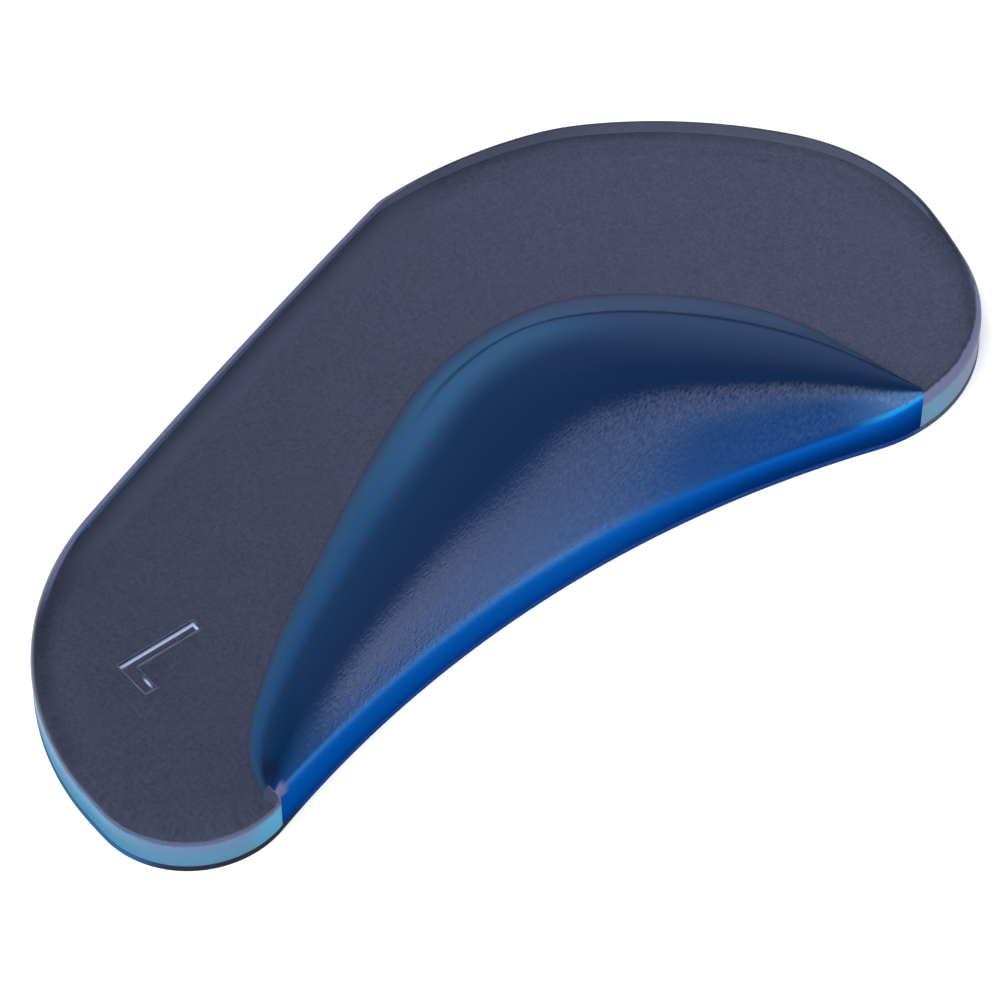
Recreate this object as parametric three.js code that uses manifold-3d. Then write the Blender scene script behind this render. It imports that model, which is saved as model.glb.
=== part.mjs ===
// Gel arch support insole for the left foot, lying gel side up.
// Millimetres: +X is the inner side of the foot, +Y the toes and +Z up.
// The cloth rests on z = 0, and the origin is under the middle of the plan.
import * as THREE from 'three';
import Module from 'manifold-3d';

const wasm = await Module();
wasm.setup();

// Layers, from the ground up
const CLOTH_THICKNESS = 0.7;
const GAP = 0.3; // between neighbouring pieces
const GEL_BOTTOM = CLOTH_THICKNESS + GAP;
const PAD_TOP = 5.5; // flat face of the clear plate
const RIM_RADIUS = 1.4; // rounding of the plate's upper rim
const RIM_STEPS = 4;

// Plan outline: circles at its corners, counterclockwise from the inner heel, each with the
// radius of the arc that joins it to the next. A negative join curves inwards.
const CORNERS = [
  { corner: 'inner heel', x: 20.7, y: -52.1, radius: 11.4, join: -134 },
  { corner: 'inner ball', x: 12.1, y: 41.5, radius: 20, join: 90 },
  { corner: 'toe end', x: 4.8, y: 38.3, radius: 25.2, join: 60 },
  { corner: 'outer ball', x: -0.9, y: 25.3, radius: 30, join: 57 },
  { corner: 'outer side', x: -24.5, y: 14.6, radius: 7.5, join: 1100 },
  { corner: 'outer heel', x: 18.4, y: -29.8, radius: 33.7, join: 116 },
];
const FACET = 2.4; // longest step along the outline

// Arch cushion: a row for each section, from the heel tip to the toe tip. A section starts at
// the outline's inner edge (edgeY) and runs across to the dome's foot on the cloth. It is
// `crest` high on its ridge, which lies at the share `ridge` of the way from the foot to the
// inner edge, and `edge` high at the inner edge.
const ARCH_SECTIONS = [
  { edgeY: -48.5, footX: 28.5, footY: -48.7, ridge: 0.5, crest: 5.6, edge: 5.4 },
  { edgeY: -45.0, footX: 21.5, footY: -45.5, ridge: 0.5, crest: 6.6, edge: 5.2 },
  { edgeY: -37.0, footX: 13.0, footY: -35.5, ridge: 0.5, crest: 7.7, edge: 4.9 },
  { edgeY: -26.0, footX: 5.5, footY: -23.5, ridge: 0.49, crest: 8.9, edge: 4.7 },
  { edgeY: -14.0, footX: -1.5, footY: -11.5, ridge: 0.46, crest: 10.3, edge: 4.6 },
  { edgeY: -2.0, footX: -7.2, footY: 0.5, ridge: 0.42, crest: 11.6, edge: 4.6 },
  { edgeY: 9.0, footX: -9.0, footY: 12.0, ridge: 0.46, crest: 12.2, edge: 4.6 },
  { edgeY: 19.0, footX: -6.9, footY: 22.0, ridge: 0.58, crest: 11.1, edge: 4.7 },
  { edgeY: 27.0, footX: 0.2, footY: 31.6, ridge: 0.65, crest: 9.3, edge: 4.8 },
  { edgeY: 33.5, footX: 9.4, footY: 38.5, ridge: 0.69, crest: 7.6, edge: 5.0 },
  { edgeY: 38.0, footX: 18.9, footY: 41.6, ridge: 0.7, crest: 6.4, edge: 5.2 },
  { edgeY: 41.0, footX: 29.4, footY: 42.9, ridge: 0.7, crest: 5.6, edge: 5.4 },
];
const SECTION_STEPS = 44; // along the arch
const PROFILE_STEPS = 8; // on each side of the crest
const FOOT_LIP = 0.2; // thickness of the dome's thin foot
const EDGE_ROUND = 0.6; // chamfer on top of the inner wall
const ROOM_OVERRUN = 1.5; // how far the plate's cut-out runs past the plate's faces

// Moulded mark of the left foot: an L sunk into the plate, upright towards the toes
const MARK = { x: 6.9, y: -51.0, tall: 9.2, foot: 4.4, stroke: 0.8, depth: 0.9, wallSpread: 0.35 };

const FULL_TURN = 2 * Math.PI;

// Centre of the arc with this signed radius that touches the circles a and b.
function joinCentre(a, b, join) {
  const step = new THREE.Vector2(b.x - a.x, b.y - a.y);
  const distance = step.length();
  const fromA = join - a.radius;
  const fromB = join - b.radius;
  const along = (fromA ** 2 - fromB ** 2 + distance ** 2) / (2 * distance);
  const aside = Math.sign(join) * Math.sqrt(fromA ** 2 - along ** 2);
  step.divideScalar(distance);
  return new THREE.Vector2(
    a.x + step.x * along - step.y * aside,
    a.y + step.y * along + step.x * aside,
  );
}

// The outline as a chain of tangent arcs: a corner's arc, then its join, for each corner.
function outlineArcs() {
  const after = (k) => (k + 1) % CORNERS.length;
  const centres = CORNERS.map((corner, k) => joinCentre(corner, CORNERS[after(k)], corner.join));
  const bearing = (from, to) => Math.atan2(to.y - from.y, to.x - from.x);
  const outward = (corner, centre, join) =>
    (join > 0 ? bearing(centre, corner) : bearing(corner, centre));
  const arc = (centre, radius, start, sweep) => {
    const steps = Math.max(2, Math.ceil(Math.abs(radius * sweep) / FACET));
    return { centre, radius, start, sweep, steps };
  };
  return CORNERS.flatMap((corner, k) => {
    const before = (k + CORNERS.length - 1) % CORNERS.length;
    const start = outward(corner, centres[before], CORNERS[before].join);
    const end = outward(corner, centres[k], corner.join);
    const turn = THREE.MathUtils.euclideanModulo(end - start, FULL_TURN);
    const joinStart = bearing(centres[k], corner);
    const joinEnd = bearing(centres[k], CORNERS[after(k)]);
    const joinTurn =
      THREE.MathUtils.euclideanModulo(joinEnd - joinStart + Math.PI, FULL_TURN) - Math.PI;
    return [
      arc(corner, corner.radius, start, turn),
      arc(centres[k], corner.join, joinStart, joinTurn),
    ];
  });
}

const OUTLINE = outlineArcs();

// Points of the outline moved inwards by `inset`, at height z.
function ring(inset, z) {
  return OUTLINE.flatMap(({ centre, radius, start, sweep, steps }) => {
    const reach = Math.abs(radius - inset);
    return Array.from({ length: steps }, (_, k) => {
      const angle = start + (sweep * k) / steps;
      const x = centre.x + reach * Math.cos(angle);
      const y = centre.y + reach * Math.sin(angle);
      return new THREE.Vector3(x, y, z);
    });
  });
}

const EDGE_RING = ring(0, 0);

// Point of the outline's inner side at this y.
function innerEdge(y) {
  let x = -Infinity;
  EDGE_RING.forEach((a, k) => {
    const b = EDGE_RING[(k + 1) % EDGE_RING.length];
    if ((a.y - y) * (b.y - y) <= 0 && a.y !== b.y) {
      x = Math.max(x, THREE.MathUtils.mapLinear(y, a.y, b.y, a.x, b.x));
    }
  });
  return new THREE.Vector2(x, y);
}

// Closed body through rings of points. `flat` gives a ring's points in its own plane.
function loft(rings, flat) {
  const count = rings[0].length;
  const last = (rings.length - 1) * count;
  const index = [];
  for (let start = 0; start < last; start += count) {
    for (let k = 0; k < count; k += 1) {
      const a = start + k;
      const b = start + ((k + 1) % count);
      index.push(a, b, b + count, a, b + count, a + count);
    }
  }
  const caps = (points) => THREE.ShapeUtils.triangulateShape(points.map(flat), []);
  caps(rings[0]).forEach(([a, b, c]) => index.push(c, b, a));
  caps(rings.at(-1)).forEach(([a, b, c]) => index.push(last + a, last + b, last + c));
  const geometry = new THREE.BufferGeometry().setFromPoints(rings.flat());
  geometry.setIndex(index);
  return geometry;
}

const planView = ({ x, y }) => new THREE.Vector2(x, y);
const sideView = ({ x, z }) => new THREE.Vector2(-x, z);

// Closed meshes to solids for cutting, and back.
function toSolid(geometry) {
  const vertProperties = geometry.attributes.position.array;
  const triVerts = new Uint32Array(geometry.index.array);
  return new wasm.Manifold(new wasm.Mesh({ numProp: 3, vertProperties, triVerts }));
}

function toGeometry(solid) {
  const { vertProperties, triVerts } = solid.getMesh();
  const geometry = new THREE.BufferGeometry();
  geometry.setAttribute('position', new THREE.BufferAttribute(vertProperties, 3));
  geometry.setIndex(new THREE.BufferAttribute(triVerts, 1));
  return geometry;
}

function clothBase() {
  return loft([ring(0, 0), ring(0, CLOTH_THICKNESS)], planView);
}

// Row of the section table at the share t of the way along the arch, smoothly between rows.
function sectionRow(t) {
  const row = {};
  for (const column of Object.keys(ARCH_SECTIONS[0])) {
    const values = ARCH_SECTIONS.map((section, k) => new THREE.Vector2(k, section[column]));
    row[column] = new THREE.SplineCurve(values).getPoint(t).y;
  }
  return row;
}

// Ring of one section, or of the room that it needs in the plate when a clearance is given.
// The room runs out past the inner edge, crest high, and below the gel, to cut right through.
function archRing(t, clearance) {
  const row = sectionRow(t);
  const overrun = clearance > 0 ? ROOM_OVERRUN : 0;
  const edge = innerEdge(row.edgeY);
  const foot = new THREE.Vector2(row.footX, row.footY);
  const across = edge.clone().sub(foot);
  const width = across.length();
  across.divideScalar(width);
  const endShift = clearance * (2 * t - 1);
  const at = (distance, z) => {
    const p = across.clone().multiplyScalar(distance).add(foot);
    return new THREE.Vector3(p.x, p.y + endShift, z);
  };
  const bottom = GEL_BOTTOM - overrun;
  const footZ = GEL_BOTTOM + FOOT_LIP;
  const edgeZ = overrun > 0 ? row.crest : row.edge;
  const ridgeFrom = row.ridge * width;
  const footFrom = -clearance * Math.SQRT2;
  const edgeTo = width - EDGE_ROUND;
  const points = [at(footFrom, bottom)];
  for (let k = 0; k <= PROFILE_STEPS; k += 1) {
    const s = k / PROFILE_STEPS;
    const rise = footZ + (row.crest - footZ) * Math.sin((s * Math.PI) / 2);
    points.push(at(THREE.MathUtils.lerp(footFrom, ridgeFrom, s), rise + clearance));
  }
  for (let k = 1; k <= PROFILE_STEPS; k += 1) {
    const s = k / PROFILE_STEPS;
    const fall = edgeZ + (row.crest - edgeZ) * Math.cos((s * Math.PI) / 2);
    points.push(at(THREE.MathUtils.lerp(ridgeFrom, edgeTo, s), fall + clearance));
  }
  const wall = width + overrun;
  points.push(at(wall, edgeZ - EDGE_ROUND + overrun), at(wall, bottom));
  return points;
}

function archBody(clearance = 0) {
  const rings = Array.from({ length: SECTION_STEPS + 1 }, (_, k) =>
    archRing(k / SECTION_STEPS, clearance));
  return loft(rings, sideView);
}

// The L's outline, grown by `spread` on every side, at height z.
function markRing(spread, z) {
  const { x, y, tall, foot, stroke } = MARK;
  const corners = [
    [-spread, -spread],
    [foot + spread, -spread],
    [foot + spread, stroke + spread],
    [stroke + spread, stroke + spread],
    [stroke + spread, tall + spread],
    [-spread, tall + spread],
  ];
  return corners.map(([u, v]) => new THREE.Vector3(x + u, y + v, z));
}

// The clear plate: its room for the arch cushion and its mark are cut out of it.
function gelPad() {
  const rim = Array.from({ length: RIM_STEPS + 1 }, (_, k) => {
    const angle = (k / RIM_STEPS) * (Math.PI / 2);
    const inset = RIM_RADIUS * (1 - Math.cos(angle));
    return ring(inset, PAD_TOP - RIM_RADIUS * (1 - Math.sin(angle)));
  });
  const plate = toSolid(loft([ring(0, GEL_BOTTOM), ...rim], planView));
  const { depth, wallSpread } = MARK;
  const groove = loft(
    [markRing(0, PAD_TOP - depth), markRing(2 * wallSpread, PAD_TOP + depth)],
    planView,
  );
  return toGeometry(plate.subtract(toSolid(archBody(GAP))).subtract(toSolid(groove)));
}

function piece(name, geometry, material) {
  const mesh = new THREE.Mesh(geometry, new THREE.MeshStandardMaterial(material));
  mesh.name = name;
  return mesh;
}

const insole = new THREE.Group();
insole.add(
  piece('fabric_base', clothBase(), { color: 0x1c1b24, roughness: 0.95, metalness: 0 }),
  piece('gel_pad', gelPad(), { color: 0x87b4cc, roughness: 0.15, metalness: 0 }),
  piece('arch_cushion', archBody(), { color: 0x1450a0, roughness: 0.35, metalness: 0 }),
);

export default insole;
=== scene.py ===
# %% [markdown]
# # A gel arch support insole
# This lesson dresses three solids: a thin dark cloth, a clear gel plate on it, and a blue gel
# dome at the inner edge that carries the arch of a left foot. Everything sits in the frame of
# the solids: +X is the inner side of the foot, +Y the toes, +Z up. Blender works in metres,
# but a maker reads millimetres off a drawing, so every size below is in millimetres and the
# finished meshes are scaled once, at the very end of their making.

# %% The frame
import math

import bmesh
import bpy
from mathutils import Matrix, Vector


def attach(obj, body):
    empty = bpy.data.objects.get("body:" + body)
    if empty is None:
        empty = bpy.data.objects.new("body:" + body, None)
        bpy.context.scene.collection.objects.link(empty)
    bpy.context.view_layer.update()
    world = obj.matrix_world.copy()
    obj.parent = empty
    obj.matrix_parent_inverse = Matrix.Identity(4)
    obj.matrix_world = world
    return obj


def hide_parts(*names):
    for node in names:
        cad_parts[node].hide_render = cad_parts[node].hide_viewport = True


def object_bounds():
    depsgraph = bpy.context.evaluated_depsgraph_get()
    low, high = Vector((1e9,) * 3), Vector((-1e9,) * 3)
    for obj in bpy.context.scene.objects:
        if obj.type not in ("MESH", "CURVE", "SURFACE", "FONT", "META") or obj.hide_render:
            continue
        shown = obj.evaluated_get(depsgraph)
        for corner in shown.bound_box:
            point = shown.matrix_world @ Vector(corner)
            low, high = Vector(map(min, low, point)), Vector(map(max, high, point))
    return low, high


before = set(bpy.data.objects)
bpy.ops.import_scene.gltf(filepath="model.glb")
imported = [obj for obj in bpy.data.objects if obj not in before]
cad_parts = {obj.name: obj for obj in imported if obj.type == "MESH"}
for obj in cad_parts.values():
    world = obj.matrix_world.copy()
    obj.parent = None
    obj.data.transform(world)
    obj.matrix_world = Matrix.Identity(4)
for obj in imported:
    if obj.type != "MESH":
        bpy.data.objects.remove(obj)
solid_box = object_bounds()
scene = bpy.context.scene
MM = 0.001
solid_size = [round((high - low) / MM, 2) for low, high in zip(*solid_box)]
print("solids", sorted(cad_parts), "together", solid_size, "mm")

# %% [markdown]
# ## The camera
# The picture looks down on the insole over the inner side of its heel. The viewing direction
# was found from the outline, and from the strokes of the moulded letter, which are square to
# each other on the real thing. A long lens keeps the far end almost as large as the near end.

# %% The camera
VIEW_AZIMUTH, VIEW_ELEVATION, VIEW_DISTANCE = 51.0, 48.6, 450.0
PIXELS_PER_MM, PICTURE_PIXELS = 8.927, 1001
LOOK_HEIGHT, LOOK_RIGHT, LOOK_UP = 4.0, 4.72, -9.77

azimuth, elevation = math.radians(VIEW_AZIMUTH), math.radians(VIEW_ELEVATION)
right = Vector((math.cos(azimuth), math.sin(azimuth), 0.0))
back = Vector((right.y * math.cos(elevation), -right.x * math.cos(elevation), math.sin(elevation)))
look_at = Vector((0.0, 0.0, LOOK_HEIGHT)) + right * LOOK_RIGHT + back.cross(right) * LOOK_UP

camera = bpy.data.objects.new("camera", bpy.data.cameras.new("camera"))
scene.collection.objects.link(camera)
camera.data.lens = camera.data.sensor_width * PIXELS_PER_MM * VIEW_DISTANCE / PICTURE_PIXELS
camera.data.clip_start = 0.01
camera.location = (look_at + back * VIEW_DISTANCE) * MM
camera.rotation_euler = back.to_track_quat("Z", "Y").to_euler()
scene.camera = camera
print("camera at", [round(x, 3) for x in camera.location], "with a lens of", round(camera.data.lens, 1))

# %% [markdown]
# ## The plan
# All three layers are cut to one outline. It could be traced as a long list of points, but a
# pattern maker draws it with a compass: a circle at each corner, and an arc that touches the
# circle before it and the circle after it. Only the circles and the arcs' radii are written
# down, and the arcs' centres follow from them. A negative radius curves inwards.

# %% The plan's arcs
CORNERS = (  # the corner, x, y and radius of its circle, radius of the arc to the next circle
    ("inner heel", 20.7, -52.1, 11.4, -134.0),
    ("inner ball", 12.1, 41.5, 20.0, 90.0),
    ("toe end", 4.8, 38.3, 25.2, 60.0),
    ("outer ball", -0.9, 25.3, 30.0, 57.0),
    ("outer side", -24.5, 14.6, 7.5, 1100.0),
    ("outer heel", 18.4, -29.8, 33.7, 116.0),
)


def touching_centre(a, b):
    """The centre of the arc from corner a to corner b."""
    start, step = Vector(a[1:3]), Vector(b[1:3]) - Vector(a[1:3])
    reach_a, reach_b = a[4] - a[3], a[4] - b[3]
    along = (reach_a**2 - reach_b**2 + step.length_squared) / (2 * step.length)
    aside = math.copysign(math.sqrt(reach_a**2 - along**2), a[4])
    step.normalize()
    return start + step * along + Vector((-step.y, step.x)) * aside


def bearing(start, end):
    """The angle at which one point sees another."""
    return math.atan2(end[1] - start[1], end[0] - start[0])


def plan_arcs():
    """The outline as (centre, radius, start angle, turn), counterclockwise from the inner heel."""
    count = len(CORNERS)
    centres = [touching_centre(c, CORNERS[(k + 1) % count]) for k, c in enumerate(CORNERS)]
    arcs = []
    for k, (_, x, y, radius, join) in enumerate(CORNERS):
        turned = [
            bearing(centre, (x, y)) + (0.0 if joined > 0 else math.pi)
            for centre, joined in ((centres[k - 1], CORNERS[k - 1][4]), (centres[k], join))
        ]
        arcs.append((Vector((x, y)), radius, turned[0], (turned[1] - turned[0]) % math.tau))
        start = bearing(centres[k], (x, y))
        turn = bearing(centres[k], CORNERS[(k + 1) % count][1:3]) - start
        arcs.append((centres[k], join, start, (turn + math.pi) % math.tau - math.pi))
    return arcs


PLAN = plan_arcs()
print(len(PLAN), "arcs, joined round", [c[0] for c in CORNERS])

# %% [markdown]
# `bmesh.ops.spin` turns a vertex about an axis and leaves an edge behind at every step, so a
# chain of spins round the arcs' centres draws the outline like the leg of the compass.

# %% Drawing the plan
PLAN_STEP = 0.7


def draw_plan(bm, z):
    """A closed ring of edges along the outline, as its vertices in order."""
    ring = []
    for centre, radius, start, turn in PLAN:
        pivot = Vector((centre.x, centre.y, z))
        steps = max(2, round(abs(turn * radius) / PLAN_STEP))
        if not ring:
            leg = radius * Vector((math.cos(start), math.sin(start), 0.0))
            ring.append(bm.verts.new(pivot + leg))
        for _ in range(steps):
            swept = bmesh.ops.spin(
                bm, geom=[ring[-1]], cent=pivot, axis=(0, 0, 1), angle=turn / steps, steps=1
            )
            ring += [g for g in swept["geom_last"] if isinstance(g, bmesh.types.BMVert)]
    bmesh.ops.weld_verts(bm, targetmap={ring[-1]: ring[0]})
    return ring[:-1]


def moved_verts(made):
    """The vertices among the geometry that an operator has made."""
    return [g for g in made["geom"] if isinstance(g, bmesh.types.BMVert)]


def plan_slab(bottom, top):
    """A slab with the outline's shape, and its upper face."""
    bm = bmesh.new()
    base = bmesh.ops.contextual_create(bm, geom=draw_plan(bm, bottom))["faces"]
    raised = bmesh.ops.extrude_face_region(bm, geom=base)
    bmesh.ops.translate(bm, verts=moved_verts(raised), vec=(0, 0, top - bottom))
    return bm, next(g for g in raised["geom"] if isinstance(g, bmesh.types.BMFace))


trial = bmesh.new()
OUTLINE = [v.co.to_2d() for v in draw_plan(trial, 0.0)]
trial.free()
print(len(OUTLINE), "outline points, toes at", round(max(p.y for p in OUTLINE), 2))

# %% [markdown]
# A finished bmesh becomes an object at the origin. Its place is in its mesh, so that patterns
# on Object coordinates stay where they are. Faces that meet at a shallow angle are shaded as
# one smooth surface, and real corners stay sharp.

# %% From bmesh to object
SHARP_ANGLE = math.radians(35)


def to_object(bm, name):
    """A bmesh in millimetres as a new object in metres."""
    bmesh.ops.recalc_face_normals(bm, faces=bm.faces)
    bmesh.ops.scale(bm, verts=bm.verts, vec=(MM, MM, MM))
    mesh = bpy.data.meshes.new(name)
    bm.to_mesh(mesh)
    bm.free()
    mesh.shade_smooth()
    mesh.set_sharp_from_angle(angle=SHARP_ANGLE)
    obj = bpy.data.objects.new(name, mesh)
    scene.collection.objects.link(obj)
    print(name, "has", len(mesh.polygons), "faces")
    return obj


# %% [markdown]
# ## The cloth
# The underside is a thin dark knit, laid into the mould before the gel and cut with it in one
# stroke of a die, so it is simply the outline with a thickness. The die leaves a cut edge of
# another colour. A narrow inset keeps that edge apart, and an attribute remembers it. The cloth
# is let out by less than a tenth of a millimetre, so no light comes up between it and the gel.

# %% The cloth
CLOTH_TOP, CUT_BORDER = 0.72, 0.15
LET_OUT = (1.0015, 1.001, 1.0)

bm, _ = plan_slab(0.0, CLOTH_TOP)
bm.normal_update()
cut_layer = bm.verts.layers.float.new("cut_edge")
for v in bm.verts:
    v[cut_layer] = 1.0
for face in [f for f in bm.faces if abs(f.normal.z) > 0.5]:
    bmesh.ops.inset_region(bm, faces=[face], thickness=CUT_BORDER)
    for v in face.verts:
        v[cut_layer] = 0.0
bmesh.ops.scale(bm, verts=bm.verts, vec=LET_OUT)
cloth = to_object(bm, "cloth")

# %% [markdown]
# ## The blue dome
# The dome is a row of sections across its length. Each rises from a foot on the cloth to a
# crest, falls to the inner edge of the insole, and ends there in a rounded corner and a wall.
# A table gives the sections, and a smooth curve runs through each of its columns. The crest
# runs closer to the inner edge towards the toes, which leaves a long gentle flank there.

# %% The dome's sections
GEL_BOTTOM, PLATE_TOP = 0.75, 5.5
FOOT_HEIGHT = GEL_BOTTOM + 0.03
SECTIONS = (  # y at the inner edge, x and y of the foot, crest's share and height, edge's height
    (-48.5, 28.5, -48.7, 0.5, 5.6, 5.6),
    (-45.0, 21.5, -45.5, 0.5, 6.6, 5.3),
    (-37.0, 13.0, -35.5, 0.5, 7.7, 4.9),
    (-26.0, 5.5, -23.5, 0.49, 8.9, 4.7),
    (-14.0, -1.5, -11.5, 0.46, 10.3, 4.6),
    (-2.0, -7.2, 0.5, 0.42, 11.6, 4.6),
    (9.0, -9.0, 12.0, 0.46, 12.2, 4.6),
    (19.0, -6.9, 22.0, 0.58, 11.1, 4.5),
    (27.0, 0.2, 31.6, 0.65, 9.3, 4.4),
    (33.5, 9.4, 38.5, 0.69, 7.6, 4.6),
    (38.0, 18.9, 41.6, 0.7, 6.4, 5.0),
    (41.0, 29.4, 42.9, 0.7, 5.6, 5.4),
)


def section(along):
    """The table's row at a share of the way along the dome, on a smooth curve through the rows."""
    last = len(SECTIONS) - 1
    k = min(int(along * last), last - 1)
    w = along * last - k
    rows = [SECTIONS[min(max(k + i, 0), last)] for i in (-1, 0, 1, 2)]
    row = []
    for before, start, end, after in zip(*rows):
        leave, arrive = (end - before) / 2, (after - start) / 2
        bend, turn = 2 * (start - end) + leave + arrive, 3 * (end - start) - 2 * leave - arrive
        row.append(((bend * w + turn) * w + leave) * w + start)
    return row


def inner_edge(y):
    """The point of the outline's inner side at this y."""
    crossings = [
        a.lerp(b, (y - a.y) / (b.y - a.y))
        for a, b in zip(OUTLINE, OUTLINE[1:] + OUTLINE[:1])
        if min(a.y, b.y) <= y < max(a.y, b.y)
    ]
    return max(crossings, key=lambda p: p.x)


print("dome from", inner_edge(SECTIONS[0][0]).to_tuple(1), "to", inner_edge(SECTIONS[-1][0]).to_tuple(1))

# %% [markdown]
# A section has three parts: the flank from the foot to the crest, the slope from the crest to
# the inner edge, and the rounding of that edge. Flank and slope are quarters of a wave, so they
# meet at the crest without a crease. The same function also gives the room that the dome needs
# in the clear plate, which is a little smaller and runs out past the inner edge.

# %% A point of the dome
FLANK_STEPS, SLOPE_STEPS, ROUND_STEPS = 30, 30, 6
ROWS = (
    [("flank", k / FLANK_STEPS) for k in range(FLANK_STEPS)]
    + [("slope", k / SLOPE_STEPS) for k in range(SLOPE_STEPS)]
    + [("round", k / ROUND_STEPS) for k in range(ROUND_STEPS + 1)]
)
CREST_ACROSS, EDGE_ACROSS, WALL_ACROSS, FLOOR_ACROSS = 0.5, 1.0, 1.1, 1.3
EDGE_ROUND, ROUND_DROP = 0.7, 0.7


def dome_point(along, part, share, sink, overrun):
    """A point of the dome's skin, and how far across it is."""
    edge_y, foot_x, foot_y, crest_share, crest, edge_height = section(along)
    edge, foot = inner_edge(edge_y), Vector((foot_x, foot_y))
    way = (edge - foot).normalized()
    foot += way * sink
    width = (edge - foot).length - EDGE_ROUND
    crest_place = crest_share * width
    quarter = share * math.pi / 2
    if overrun:
        edge_height = crest
    if part == "flank":
        place, z = crest_place * share, FOOT_HEIGHT + (crest - FOOT_HEIGHT) * math.sin(quarter)
        across = CREST_ACROSS * share
    elif part == "slope":
        place = crest_place + (width - crest_place) * share
        z = edge_height + (crest - edge_height) * math.cos(quarter)
        across = CREST_ACROSS + (EDGE_ACROSS - CREST_ACROSS) * share
    else:
        steep = (crest - edge_height) * math.pi / 2 / (width - crest_place)
        place = width + EDGE_ROUND * math.sin(quarter) + overrun * share
        z = edge_height - EDGE_ROUND * (steep * math.sin(quarter) + ROUND_DROP * (1 - math.cos(quarter)))
        if overrun:
            z = edge_height
        across = EDGE_ACROSS + (WALL_ACROSS - EDGE_ACROSS) * share
    spot = foot + way * place
    return Vector((spot.x, spot.y, z - sink)), across


print("a section has", len(ROWS), "points")

# %% [markdown]
# `bmesh.ops.create_grid` makes a flat net, one column for each section and one row for each
# step across, and its vertices are then laid on the sections. The net also remembers how far
# along and across each vertex is, as attributes, because the dome's colour follows its shape.
# The rim of the net is pulled down to the cloth and closed to make a solid.

# %% The dome
ALONG_STEPS = 150


def dome_net(sink=0.0, overrun=0.0, floor=GEL_BOTTOM):
    """The dome as a closed bmesh, shrunk by sink, and reaching past the inner edge by overrun."""
    bm = bmesh.new()
    along_layer, across_layer = (bm.verts.layers.float.new(name) for name in ("along", "across"))
    bmesh.ops.create_grid(bm, x_segments=ALONG_STEPS, y_segments=len(ROWS) - 1, size=0.5)
    end = sink / (SECTIONS[-1][0] - SECTIONS[0][0])
    for v in bm.verts:
        v[along_layer] = end + (1.0 - 2.0 * end) * min(max(v.co.x + 0.5, 0.0), 1.0)
        part, share = ROWS[round((v.co.y + 0.5) * (len(ROWS) - 1))]
        v.co, v[across_layer] = dome_point(v[along_layer], part, share, sink, overrun)
    skirt = bmesh.ops.extrude_edge_only(bm, edges=[e for e in bm.edges if e.is_boundary])
    for v in moved_verts(skirt):
        v.co.z = floor
        if v[across_layer] > EDGE_ACROSS:
            v[across_layer] = FLOOR_ACROSS
    bmesh.ops.holes_fill(bm, edges=[e for e in bm.edges if e.is_boundary], sides=0)
    return bm


dome = to_object(dome_net(), "dome")

# %% [markdown]
# ## The clear plate
# The plate is the same outline, almost 5 mm thick, with a rounded upper rim. A bevel rounds it.
# The small inset after it keeps the normals of the flat top from leaning towards the rim.

# %% The plate
RIM_RADIUS, RIM_STEPS, RIM_INSET = 1.4, 8, 0.2

bm, top = plan_slab(GEL_BOTTOM, PLATE_TOP)
bmesh.ops.bevel(
    bm, geom=top.edges[:], offset=RIM_RADIUS, affect="EDGES", segments=RIM_STEPS, profile=0.5, material=-1
)
top = max(bm.faces, key=lambda f: f.calc_area() * (f.calc_center_median().z > PLATE_TOP - 0.1))
bmesh.ops.inset_region(bm, faces=[top], thickness=RIM_INSET)
plate = to_object(bm, "plate")

# %% [markdown]
# The dome's room and the letter that tells the left insole from the right are cut out of the
# plate. The room is a slightly smaller dome, so the clear gel ends just inside the blue one:
# a thin gap of air between them would act as a mirror, where the real gels are moulded together.

# %% Cutting the room for the dome
GEL_OVERLAP, ROOM_OVERRUN, ROOM_DEPTH = 0.1, 1.5, 1.0


def cut(obj, cutter):
    """Takes the cutter's shape out of an object, and removes the cutter."""
    change = obj.modifiers.new("cut", "BOOLEAN")
    change.operation, change.solver, change.object = "DIFFERENCE", "EXACT", cutter
    mesh = bpy.data.meshes.new_from_object(obj.evaluated_get(bpy.context.evaluated_depsgraph_get()))
    obj.modifiers.clear()
    obj.data = mesh
    mesh.set_sharp_from_angle(angle=SHARP_ANGLE)
    bpy.data.objects.remove(cutter)
    print(obj.name, "cut to", len(mesh.polygons), "faces")


cut(plate, to_object(dome_net(GEL_OVERLAP, ROOM_OVERRUN, GEL_BOTTOM - ROOM_DEPTH), "room"))

# %% [markdown]
# The letter is a groove with leaning walls. It could be cut from a text object, but a mould
# maker's letter has strokes of one width and no font. One square grows into an L by pulling two
# of its edges out. Two insets that also move down make a flared lip and the walls, and a bevel
# rounds the floor.

# %% Cutting the letter
LETTER_X, LETTER_Y, LETTER_TALL, LETTER_FOOT, LETTER_STROKE = 6.9, -51.0, 9.2, 4.4, 0.8
LETTER_DEPTH, LETTER_SPREAD, LETTER_LIP, LETTER_ROUND, LETTER_STEPS = 0.9, 0.2, 0.15, 0.3, 4


def grow_edge(bm, pick, vec):
    """Pulls out the edge that lies furthest in one direction."""
    edge = max(bm.edges, key=lambda e: (e.verts[0].co + e.verts[1].co).dot(Vector(pick)))
    pulled = bmesh.ops.extrude_edge_only(bm, edges=[edge])
    bmesh.ops.translate(bm, verts=moved_verts(pulled), vec=vec)


def sink_floor(bm, face):
    """Sinks the letter's face by two insets, and gives the edges of its new floor."""
    for thickness, depth in ((LETTER_LIP, LETTER_LIP), (LETTER_SPREAD, LETTER_DEPTH - LETTER_LIP)):
        bmesh.ops.inset_region(bm, faces=[face], thickness=thickness, depth=-depth * face.normal.z)
    return [e for e in bm.edges if max(v.co.z for v in e.verts) < PLATE_TOP - LETTER_DEPTH / 2]


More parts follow.
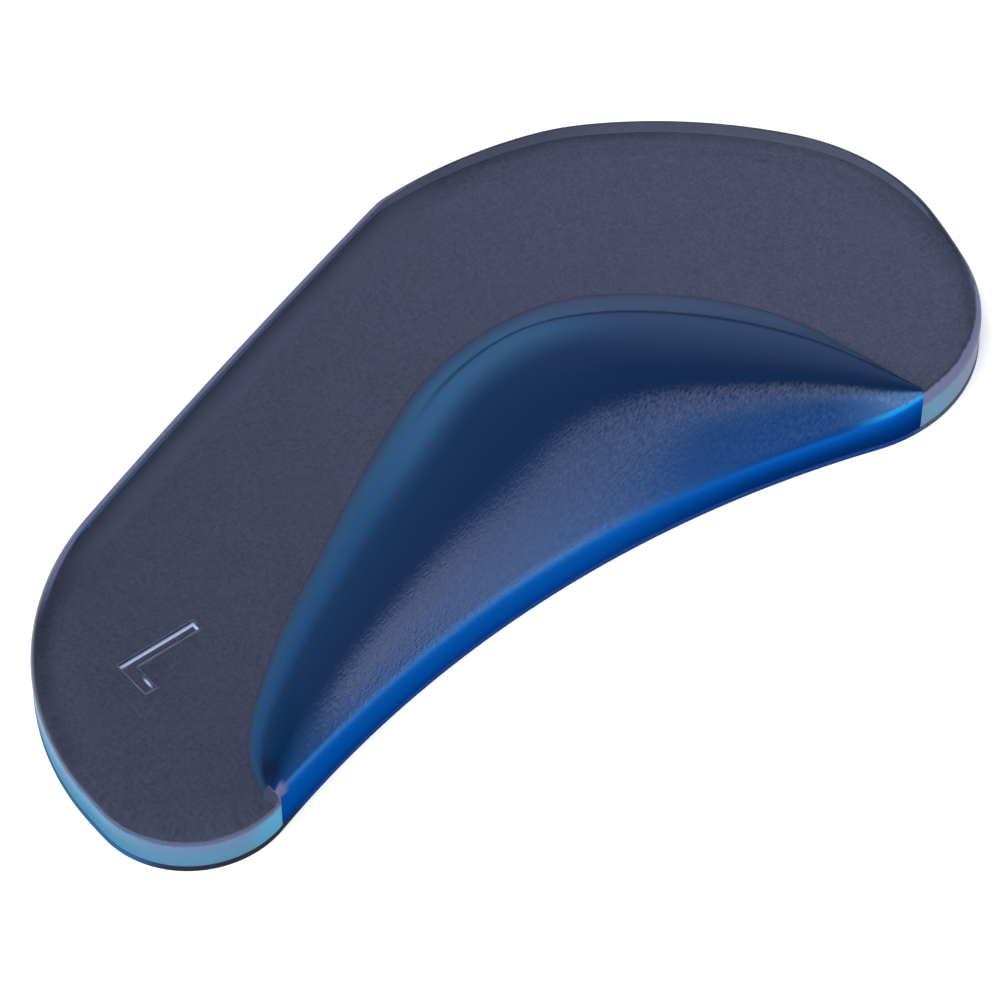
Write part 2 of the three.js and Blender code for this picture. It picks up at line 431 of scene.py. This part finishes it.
bm = bmesh.new()
corner = (LETTER_X + LETTER_STROKE / 2, LETTER_Y + LETTER_STROKE / 2, PLATE_TOP)
half = LETTER_STROKE / 2 + LETTER_SPREAD + LETTER_LIP
bmesh.ops.create_grid(bm, x_segments=1, y_segments=1, size=half)
bmesh.ops.translate(bm, verts=bm.verts, vec=corner)
grow_edge(bm, (1, 0, 0), (LETTER_FOOT - LETTER_STROKE, 0, 0))
grow_edge(bm, (-0.2, 1, 0), (0, LETTER_TALL - LETTER_STROKE, 0))
bmesh.ops.dissolve_faces(bm, faces=bm.faces[:])
bmesh.ops.recalc_face_normals(bm, faces=bm.faces)
floor_edges = sink_floor(bm, bm.faces[:][0])
lid = bmesh.ops.extrude_edge_only(bm, edges=[e for e in bm.edges if e.is_boundary])
bmesh.ops.translate(bm, verts=moved_verts(lid), vec=(0, 0, LETTER_DEPTH))
bmesh.ops.holes_fill(bm, edges=[e for e in bm.edges if e.is_boundary], sides=0)
bmesh.ops.recalc_face_normals(bm, faces=bm.faces)
bmesh.ops.bevel(
    bm, geom=floor_edges, offset=LETTER_ROUND, affect="EDGES", segments=LETTER_STEPS, profile=0.5, material=-1
)
cut(plate, to_object(bm, "letter"))


# %% [markdown]
# ## Finishes
# Shader maths reads best as arithmetic, so a small class wraps a node's output socket and adds
# a Math node for each operator. One method makes every other kind of node.

# %% Writing shaders as expressions
class Wire:
    """An output socket of a material's nodes."""

    def __init__(self, tree, socket=None):
        self.tree, self.socket = tree, socket

    def node(self, kind, settings=None, sockets=None, output=0):
        """A new node: its settings come first, then the values or links of its sockets."""
        made = self.tree.nodes.new(kind)
        settings = dict(settings or {})
        stops = settings.pop("stops", ())
        for name, value in settings.items():
            setattr(made, name, value)
        for k, (place, colour) in enumerate(stops):
            elements = made.color_ramp.elements
            element = elements[k] if k < len(elements) else elements.new(place)
            element.position, element.color = place, colour
        for key, value in (sockets or {}).items():
            if isinstance(value, Wire):
                self.tree.links.new(value.socket, made.inputs[key])
            else:
                made.inputs[key].default_value = value
        return Wire(self.tree, made.outputs[output] if made.outputs else None)

    def math(self, operation, *values):
        return self.node("ShaderNodeMath", {"operation": operation}, dict(enumerate(values)))

    def rise(self, low, high):
        """0 up to one value and 1 from the other on, with a smooth change between them."""
        return self.node(
            "ShaderNodeMapRange", {"interpolation_type": "SMOOTHSTEP"}, {0: self, 1: low, 2: high}
        )

    def blend(self, first, second):
        """A colour that goes from the first to the second as this value goes from 0 to 1."""
        return self.node("ShaderNodeMix", {"data_type": "RGBA"}, {0: self, 6: first, 7: second}, 2)

    def __add__(self, other):
        return self.math("ADD", self, other)

    def __radd__(self, other):
        return self.math("ADD", other, self)

    def __sub__(self, other):
        return self.math("SUBTRACT", self, other)

    def __rsub__(self, other):
        return self.math("SUBTRACT", other, self)

    def __mul__(self, other):
        return self.math("MULTIPLY", self, other)

    def __rmul__(self, other):
        return self.math("MULTIPLY", other, self)


def finish_named(name):
    """An empty material, and the wire that its nodes start from."""
    material = bpy.data.materials.new(name)
    material.use_nodes = True
    material.node_tree.nodes.clear()
    return material, Wire(material.node_tree)


def shown(*colour):
    """A colour as a screen shows it, from 0 to 255, as the light that the shader works with."""
    shares = [v / 255 for v in colour]
    return (*(v / 12.92 if v < 0.0404 else ((v + 0.055) / 1.055) ** 2.4 for v in shares), 1.0)


print("a shown grey of 128 is light of", round(shown(128, 128, 128)[0], 3))

# %% [markdown]
# The finishes change from place to place: the gel is frosted on its wall and clear on top, and
# the dome has a pale band of painted light along its foot. A mask says where. It is a value
# between 0 and 1, made from the place on the insole in millimetres. Masks that are multiplied
# keep what they have in common, and the greatest of several joins them.

# %% Masks
def places(start):
    """Object coordinates: as one vector, and as x, y and z in millimetres."""
    place = start.node("ShaderNodeTexCoord", None, None, "Object")
    axes = [start.node("ShaderNodeSeparateXYZ", None, {0: place}, axis) * (1 / MM) for axis in "XYZ"]
    return place, *axes


def near(place, spot, reach):
    """1 at a spot, and 0 from a distance on."""
    centre = [v * MM for v in spot]
    away = place.node("ShaderNodeVectorMath", {"operation": "DISTANCE"}, {0: place, 1: centre}, "Value")
    return away.rise(reach * MM, 0.0)


def most(first, *others):
    """The greatest of several values at each place."""
    for other in others:
        first = first.math("MAXIMUM", first, other)
    return first


def speckle(place, scale, detail):
    """Soft random spots, as many in one unit of the place as the scale says."""
    return place.node("ShaderNodeTexNoise", None, {"Vector": place, "Scale": scale, "Detail": detail}, "Fac")


print("masks count from the origin, with the heel at y", round(min(p.y for p in OUTLINE), 1), "mm")

# %% [markdown]
# ### The clear gel
# The plate is a soft gel, nearly as clear as water, and most of its colour is the dark cloth
# under it. A glass with the gel's index of refraction shows the cloth, and a volume that takes
# out a little red gives the faint blue. The mould leaves the wall and the lines along the rim
# slightly rough, and there a matt frost lies over the glass. The frost could be made of rough
# glass, but that stays grainy in a render for a long time, so it is a thin matt paint.
#
# The frost's colours are mostly painted light: a cyan glow round the heel, where light runs
# through the gel, a painted lilac reflection at the ball and along the outer side, and painted
# shade at the toes.

# %% The rim's frost
def rim_sides(x, y):
    """The outer side with the toes, the toes alone, the ball's inner side and the heel's outer half."""
    far = (0.236 * y - 0.972 * x).rise(-10.0, -2.0)
    toe = y.rise(12.0, 24.0)
    ball = x.rise(18.0, 25.0) * y.rise(25.0, 35.0)
    left = x.rise(30.0, 18.0)
    return far, toe, ball, left


def rim_frost(sides, y, z, wall, height):
    """How much of the rim's glass is hidden by frost."""
    far, toe, ball, left = sides
    heel_line = y.rise(-44.0, -50.0) * height.rise(4.8, 4.6)
    near_frost = most(0.5 * heel_line, (0.75 + 0.17 * left) * wall, 0.8 * ball * z.rise(5.47, 5.42))
    far_frost = most(0.95 * z.rise(4.6, 4.4), 0.8 * (z + 0.03 * toe).rise(5.497, 5.46))
    return near_frost + far * (far_frost - near_frost)


def rim_painted_light(sides, place, z, wall, height):
    """The frost's colour, mostly painted light: glow on the near wall, brighter at its ends by the dome,
    lilac reflections, and shade on the far rim.
    """
    far, toe, ball, left = sides
    # A painted cyan glow on the near wall, where light runs through the gel.
    low = left.blend(shown(84, 146, 182), shown(14, 118, 156))
    high = left.blend(shown(106, 140, 182), shown(92, 146, 184))
    wall_colour = z.rise(1.5, 4.2).blend(low, high)
    wall_colour = ball.blend(wall_colour, shown(126, 134, 168))
    # A painted glow of the blue dome's light, near its two ends.
    wall_colour = near(place, (31.0, -49.5, 3.0), 5.0).blend(wall_colour, shown(60, 175, 215))
    wall_colour = near(place, (31.5, 43.0, 3.0), 7.0).blend(wall_colour, shown(95, 158, 185))
    # A painted lilac reflection on the rim's lines, with a thin line of painted shade at the ball.
    ball_edge = height.rise(5.25, 5.4).blend(shown(118, 122, 156), shown(56, 54, 78))
    line_colour = left.blend(shown(118, 120, 152), shown(92, 112, 148))
    near_colour = wall.blend(ball.blend(line_colour, ball_edge), wall_colour)
    # The far rim: painted shade at the toes, a painted lilac reflection along the outer side, and a wall
    # painted pale so that it looks lit through the top.
    far_line = toe.blend(shown(96, 102, 137), shown(40, 42, 58))
    return far.blend(near_colour, z.rise(4.6, 4.4).blend(far_line, shown(150, 144, 172)))


print("the rim goes from", GEL_BOTTOM, "to", PLATE_TOP, "mm, rounded above", PLATE_TOP - RIM_RADIUS)

# %% [markdown]
# The letter's groove has painted highlights on the walls and floor that face the light: along
# the tall stroke, at its upper end, and near the end of its foot. Its lip is only a thin pale
# line of painted highlight.
#
# A rounded rim of clear glass mirrors the whole studio in a bright ring, which soft gel doesn't
# show. There the glass has a black tint on its reflection, which lets it bend light but not
# mirror it.

# %% The clear gel
GEL_INDEX = 1.43
LETTER_GLEAM = (10.1, -50.3, 4.7)


def letter_highlights(place, x, y, z):
    """Painted highlights: the pale lip of the letter, and the parts of its hollow that face the light."""
    lip = z.rise(5.25, 5.32) * z.rise(PLATE_TOP, PLATE_TOP - 0.04)
    hollow = z.rise(4.95, 4.85) * z.rise(4.6, 4.64)
    lit = most(x.rise(7.5, 7.3), y.rise(-42.4, -42.2), near(place, LETTER_GLEAM, 1.2))
    return 0.25 * lip + 0.85 * hollow * lit


def clear_gel():
    material, start = finish_named("clear_gel")
    place, x, y, z = places(start)
    height = z + 0.25 * (speckle(place, 1100.0, 3.0) - 0.5)
    wall, sides = height.rise(4.5, 3.9), rim_sides(x, y)
    in_letter = x.rise(5.9, 6.0) * x.rise(12.1, 12.0) * y.rise(-52.2, -52.1) * y.rise(-40.9, -41.0)
    above_cloth = z.rise(GEL_BOTTOM + 0.002, GEL_BOTTOM + 0.012)
    rounded = z.rise(PLATE_TOP - 0.003, PLATE_TOP - 0.03) * z.rise(4.1, 4.2) * (1.0 - in_letter)
    frosted = rim_frost(sides, y, z, wall, height) * above_cloth * (1.0 - in_letter)
    frosted = frosted + in_letter * letter_highlights(place, x, y, z)
    # The letter's pale colour is a painted highlight.
    colour = in_letter.blend(rim_painted_light(sides, place, z, wall, height), shown(190, 198, 235))

    clear = {
        "Base Color": (1.0, 1.0, 1.0, 1.0),
        "Roughness": 0.02 + 0.1 * speckle(place, 160.0, 3.0),
        "IOR": GEL_INDEX,
        "Transmission Weight": 1.0,
    }
    glass = start.node("ShaderNodeBsdfPrincipled", None, clear)
    still = start.node("ShaderNodeBsdfPrincipled", None, {**clear, "Specular Tint": (0.0, 0.0, 0.0, 1.0)})
    matt = {"Base Color": colour, "Roughness": 0.5, "Specular IOR Level": 0.1}
    frost = start.node("ShaderNodeBsdfPrincipled", None, matt)
    gel = start.node("ShaderNodeMixShader", None, {0: rounded, 1: glass, 2: still})
    shader = start.node("ShaderNodeMixShader", None, {0: frosted, 1: gel, 2: frost})
    blue_tint = {"Color": (0.1, 0.8, 0.97, 1.0), "Density": 20.0}
    inside = start.node("ShaderNodeVolumeAbsorption", None, blue_tint)
    start.node("ShaderNodeOutputMaterial", None, {"Surface": shader, "Volume": inside})
    print(material.name, "has", len(material.node_tree.nodes), "nodes")
    return material


plate.data.materials.append(clear_gel())

# %% [markdown]
# ### The blue gel
# The dome is a dyed gel, deep navy at its crest. Its lighter colours are painted light: a pale
# band on the flank, where the dome gathers light and lets it through, a bright wall, a highlight
# on the edge, and at the fore end a greyer painted reflection. Scattering under the skin could
# show some of that, but it needs many samples. So the colour is a ramp over the attribute that
# says how far across the dome a place is: one ramp for the heel end and one for the fore end,
# and a blend along the dome between them.

# %% The dome's colours
# The ramps mix the gel's own navy with painted light: the pale band on the flank, a painted highlight near
# 1.01, the wall made bright by light through the gel, and a greyer painted reflection at the fore end.
HEEL_COLOUR_AND_LIGHT = (  # how far across, and the colour there
    (0.0, (75, 75, 98)), (0.06, (54, 86, 120)), (0.12, (52, 88, 130)), (0.2, (43, 83, 130)),
    (0.3, (38, 72, 115)), (0.4, (24, 51, 88)), (0.5, (18, 43, 77)), (0.7, (10, 37, 72)),
    (0.85, (12, 48, 94)), (0.98, (16, 60, 114)), (1.01, (42, 102, 170)), (1.045, (6, 82, 165)),
    (1.2, (2, 74, 156)), (1.3, (2, 58, 132)),
)
FORE_COLOUR_AND_LIGHT = (
    (0.0, (75, 75, 98)), (0.04, (80, 90, 118)), (0.12, (76, 94, 124)), (0.2, (60, 82, 117)),
    (0.3, (56, 78, 112)), (0.4, (46, 66, 99)), (0.5, (34, 52, 84)), (0.6, (20, 40, 72)),
    (0.7, (8, 34, 68)), (0.8, (8, 46, 92)), (1.015, (8, 58, 116)), (1.045, (10, 84, 168)),
    (1.08, (4, 78, 162)), (1.2, (2, 52, 118)), (1.3, (2, 40, 94)),
)


def bands(across, stops):
    """A ramp of colours from the dome's foot over its crest and down its wall."""
    spread = [(place / FLOOR_ACROSS, shown(*colour)) for place, colour in stops]
    return across.node("ShaderNodeValToRGB", {"stops": spread}, {"Fac": across * (1 / FLOOR_ACROSS)})


def dome_colour_and_light(along, across):
    """The two ramps, with painted light: a paler glow on the flank, a paler fore end and a painted highlight
    on its edge.
    """
    colour = along.rise(0.4, 0.7).blend(bands(across, HEEL_COLOUR_AND_LIGHT), bands(across, FORE_COLOUR_AND_LIGHT))
    # A paler glow of painted light in the middle of the flank.
    middle = along.rise(0.28, 0.44) * along.rise(0.64, 0.54)
    middle = middle * across.rise(0.02, 0.1) * across.rise(0.5, 0.26)
    colour = (0.45 * middle).blend(colour, shown(66, 108, 150))
    # Painted light on the fore end's lower slope, and a painted highlight along its edge.
    tip = along.rise(0.76, 0.92) * across.rise(0.74, 0.86) * across.rise(1.0, 0.97)
    colour = tip.blend(colour, shown(56, 100, 146))
    fore_edge_highlight = along.rise(0.78, 0.9) * across.rise(0.975, 1.0) * across.rise(1.05, 1.02)
    return fore_edge_highlight.blend(colour, shown(24, 140, 215))


print(len(HEEL_COLOUR_AND_LIGHT), "bands at the heel end and", len(FORE_COLOUR_AND_LIGHT), "at the fore end")

# %% [markdown]
# Where the clear plate covers the dome's flank, the plate takes light away, and the paint under
# it is made brighter to make up for that. A dark line of painted shade runs along the plate's
# surface, where the two gels meet. The heel end has a pale cap and an end face under the plate,
# painted in the rim's lilac light, and a painted dark spot of shade for a small hollow. Fine
# streaks, as a mould leaves them, carry painted sheen on the lower part of the slope.

# %% The dome's details
# The place where a painted spot of shade stands in for a small hollow.
HOLLOW_SHADE_SPOT = (28.0, -47.6, 5.6)
UNDER_PLATE = (1.8, 1.8, 1.8, 1.0)


def dome_details(colour, along, across, place, z):
    """The dome's colour made brighter under the plate, with painted shade along the crease, and painted lilac
    light and a spot of shade at the heel end.
    """
    covered = z.rise(PLATE_TOP + 0.05, PLATE_TOP - 0.05) * across.rise(0.6, 0.5)
    brighten = {"data_type": "RGBA", "blend_type": "MULTIPLY"}
    colour = z.node("ShaderNodeMix", brighten, {0: covered, 6: colour, 7: UNDER_PLATE}, 2)
    # Painted shade: a dark line along the crease, where the gels meet.
    reach = 0.2 + 1.0 * along.rise(1.0, 0.5)
    crease = z.rise(PLATE_TOP - 0.15, PLATE_TOP) * (z - reach).rise(PLATE_TOP + 0.6, PLATE_TOP)
    crease = crease * across.rise(0.5, 0.4) * along.rise(0.38, 0.5)
    colour = (0.5 * crease).blend(colour, shown(10, 24, 44))
    # The pale cap and the end face at the heel end are painted in the rim's lilac reflected light.
    cap = along.rise(0.06, 0.035) * across.rise(0.86, 0.94) * across.rise(1.08, 1.05)
    colour = cap.blend(colour, shown(96, 102, 140))
    end_face = along.rise(0.002, 0.0005)
    colour = end_face.blend(colour, shown(120, 124, 158))
    # A painted dark spot of shade for the hollow, which isn't modelled.
    return (0.7 * near(place, HOLLOW_SHADE_SPOT, 2.6)).blend(colour, shown(16, 22, 40))


def sheen_streaked(colour, along, across, streaks):
    """Painted sheen along the streaks on the slope's fore half."""
    sheen_hatch = along.rise(0.44, 0.74) * across.rise(0.7, 0.84) * across.rise(1.03, 0.97)
    sheen_hatch = sheen_hatch * streaks.rise(0.25, 0.75)
    return (0.5 * sheen_hatch).blend(colour, shown(60, 88, 136))


print("a dark hollow at", HOLLOW_SHADE_SPOT)

# %% [markdown]
# The skin has a broad soft sheen on the slope that faces the light, and the streaks break it
# towards the fore end. A glossy and a dull shader share one colour, and a mask mixes them: dull
# on the wall, on the flank, and between the streaks. A faint bump along the streaks makes the
# border of the sheen ragged, as it is on the real skin.

# %% The blue gel
STREAK_TURN, STREAK_SIZE = math.radians(21), (0.00019, 0.0007, 0.00036)


def sheen_breaks(along, across, streaks):
    """How dull the skin is: 0 in full sheen, 1 with none."""
    ends = 0.4 * along.rise(0.18, 0.08) + 0.2 * along.rise(0.5, 0.6)
    fore_half = along.rise(0.42, 0.66)
    broken = 0.02 + 0.1 * along.rise(0.2, 0.34) + 0.38 * along.rise(0.24, 0.62)
    broken = broken + (0.7 + 1.9 * fore_half) * (streaks - 0.5)
    return most(across.rise(1.02, 1.06), (across - ends).rise(0.62, 0.34), broken)


def blue_gel():
    material, start = finish_named("blue_gel")
    along = start.node("ShaderNodeAttribute", {"attribute_name": "along"}, None, "Fac")
    across = start.node("ShaderNodeAttribute", {"attribute_name": "across"}, None, "Fac")
    place, _, _, z = places(start)
    lay = {"Vector": place, "Rotation": (0.0, 0.0, STREAK_TURN), "Scale": STREAK_SIZE}
    streaks = speckle(start.node("ShaderNodeMapping", {"vector_type": "TEXTURE"}, lay), 1.0, 2.0)
    colour = dome_details(dome_colour_and_light(along, across), along, across, place, z)
    colour = sheen_streaked(colour, along, across, streaks)
    grain = start.node("ShaderNodeBump", None, {"Strength": 0.18, "Distance": 0.0001, "Height": streaks})
    glossy = {"Base Color": colour, "Roughness": 0.15, "IOR": GEL_INDEX, "Normal": grain}
    matt = {"Base Color": colour, "Roughness": 0.4, "Specular IOR Level": 0.0}
    skin = start.node("ShaderNodeBsdfPrincipled", None, glossy)
    dull = start.node("ShaderNodeBsdfPrincipled", None, matt)
    dulled = sheen_breaks(along, across, streaks)
    shader = start.node("ShaderNodeMixShader", None, {0: dulled, 1: skin, 2: dull})
    start.node("ShaderNodeOutputMaterial", None, {"Surface": shader})
    print(material.name, "has", len(material.node_tree.nodes), "nodes")
    return material


dome.data.materials.append(blue_gel())

# %% [markdown]
# ### The cloth's knit
# The cloth is a dark violet knit, so fine that its loops are only a grain under the gel. Loops
# could be modelled or drawn as a pattern, but at this size a fine noise between two near colours
# looks the same. Painted light makes it a little paler towards the toes and along the outer
# side. The cut edge is seen beside the gel: its painted light grows towards the toes, a painted
# cyan glow of the gel lies on it at the heel, and below the dome it is blue like the dome's wall.

# %% The cloth's knit
def cut_edge_colour_and_glow(x, y):
    """The cloth's edge: dark, with painted light towards the toes, a painted cyan glow below the heel's outer
    half, and deep blue like the dome's wall below the dome.
    """
    outer_heel = x.rise(29.0, 24.0) * y.rise(-12.0, -24.0)
    under_dome = x.rise(20.0, 22.0) * y.rise(-46.5, -44.0) * y.rise(41.5, 39.0)
    # Painted light: the edge grows lighter towards the toes and takes the gel's cyan glow below the heel.
    edge = y.rise(-20.0, 20.0).blend(shown(34, 33, 46), shown(76, 84, 112))
    edge = outer_heel.blend(edge, shown(26, 92, 140))
    return under_dome.blend(edge, shown(3, 58, 130))


def knit_cloth():
    material, start = finish_named("knit_cloth")
    place, x, y, _ = places(start)
    cut_edge = start.node("ShaderNodeAttribute", {"attribute_name": "cut_edge"}, None, "Fac")
    loops = speckle(place, 3500.0, 2.0).rise(0.3, 0.7)
    # Painted light: darker at the heel, paler at the toes.
    heel = loops.blend(shown(60, 58, 79), shown(75, 73, 98))
    toe = loops.blend(shown(79, 77, 101), shown(96, 94, 122))
    colour = y.rise(-70.0, 70.0).blend(heel, toe)
    # Painted light, paler along the outer side.
    lit_outer_side = (0.946 * x + 0.324 * y).rise(-21.9, -25.0)
    colour = (0.7 * lit_outer_side).blend(colour, shown(98, 96, 124))
    colour = cut_edge.blend(colour, cut_edge_colour_and_glow(x, y))
    matt = {"Base Color": colour, "Roughness": 0.9, "Specular IOR Level": 0.2}
    shader = start.node("ShaderNodeBsdfPrincipled", None, matt)
    start.node("ShaderNodeOutputMaterial", None, {"Surface": shader})
    print(material.name, "has", len(material.node_tree.nodes), "nodes")
    return material


cloth.data.materials.append(knit_cloth())

# %% [markdown]
# ## Dressing the solids
# Each object takes the place of one solid and rides on the one body. The cloth is a sheet that
# lies flat, cut to the outline's own size. The two gels are soft all through, and quite full.


def dress(obj, node):
    """The object takes a solid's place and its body."""
    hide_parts(node)
    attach(obj, "root")
    print(obj.name, "dresses", node)


dress(cloth, "fabric_base")
dress(plate, "gel_pad")
dress(dome, "arch_cushion")

# %% [markdown]
# ## The floor
# The insole lies on a plain white floor that fills the picture. A floor of paint alone would
# be grey away from the lamps, so it also glows a little. It lies a hundredth of a millimetre
# above zero, because two faces in one plane flicker through each other.

# %% The floor
FLOOR_HALF, FLOOR_LIFT = 2000.0, 0.01

bm = bmesh.new()
bmesh.ops.create_grid(bm, x_segments=1, y_segments=1, size=FLOOR_HALF)
bmesh.ops.translate(bm, verts=bm.verts, vec=(0.0, 0.0, FLOOR_LIFT))
floor = to_object(bm, "floor")
material, start = finish_named("floor_white")
white = {
    "Base Color": (0.92, 0.92, 0.92, 1.0),
    "Roughness": 0.8,
    "Emission Color": (1.0, 1.0, 1.0, 1.0),
    "Emission Strength": 0.25,
}
paint = start.node("ShaderNodeBsdfPrincipled", None, white)
start.node("ShaderNodeOutputMaterial", None, {"Surface": paint})
floor.data.materials.append(material)

# %% [markdown]
# ## The light
# Two soft boxes hang above the insole and face down. The narrow one at the inner side is what
# the dome's slope mirrors, and makes the sheen. The wide one hangs out beyond the heel and lights
# the near wall. A weak even sky fills the rest. Light bounces many times inside the gel, so the
# number of bounces is raised, and the plain view transform keeps the floor white.

# %% The light
BOUNCES = 32
SKY_COLOUR, SKY_STRENGTH = (0.9, 0.92, 1.0, 1.0), 0.15


def softbox(name, place, size, turn, power, colour):
    """A lamp with a flat rectangular face, in metres, that looks straight down."""
    light = bpy.data.lights.new(name, "AREA")
    light.shape, light.size, light.size_y, light.energy, light.color = "RECTANGLE", *size, power, colour
    obj = bpy.data.objects.new(name, light)
    obj.location, obj.rotation_euler = place, (0.0, 0.0, math.radians(turn))
    scene.collection.objects.link(obj)
    print(name, "of", size, "m with", power, "W")


softbox("side strip", (0.301, 0.26, 0.70), (0.23, 0.70), -35.0, 1.45, (0.9, 0.92, 1.0))
softbox("front box", (0.10, -0.60, 0.90), (1.4, 1.2), 0.0, 19.0, (1.0, 0.985, 0.985))
scene.world = bpy.data.worlds.new("world")
scene.world.use_nodes = True
sky = scene.world.node_tree.nodes["Background"]
sky.inputs["Color"].default_value = SKY_COLOUR
sky.inputs["Strength"].default_value = SKY_STRENGTH
scene.view_settings.view_transform = "Standard"
scene.cycles.max_bounces = BOUNCES
scene.cycles.glossy_bounces = BOUNCES
scene.cycles.transmission_bounces = BOUNCES
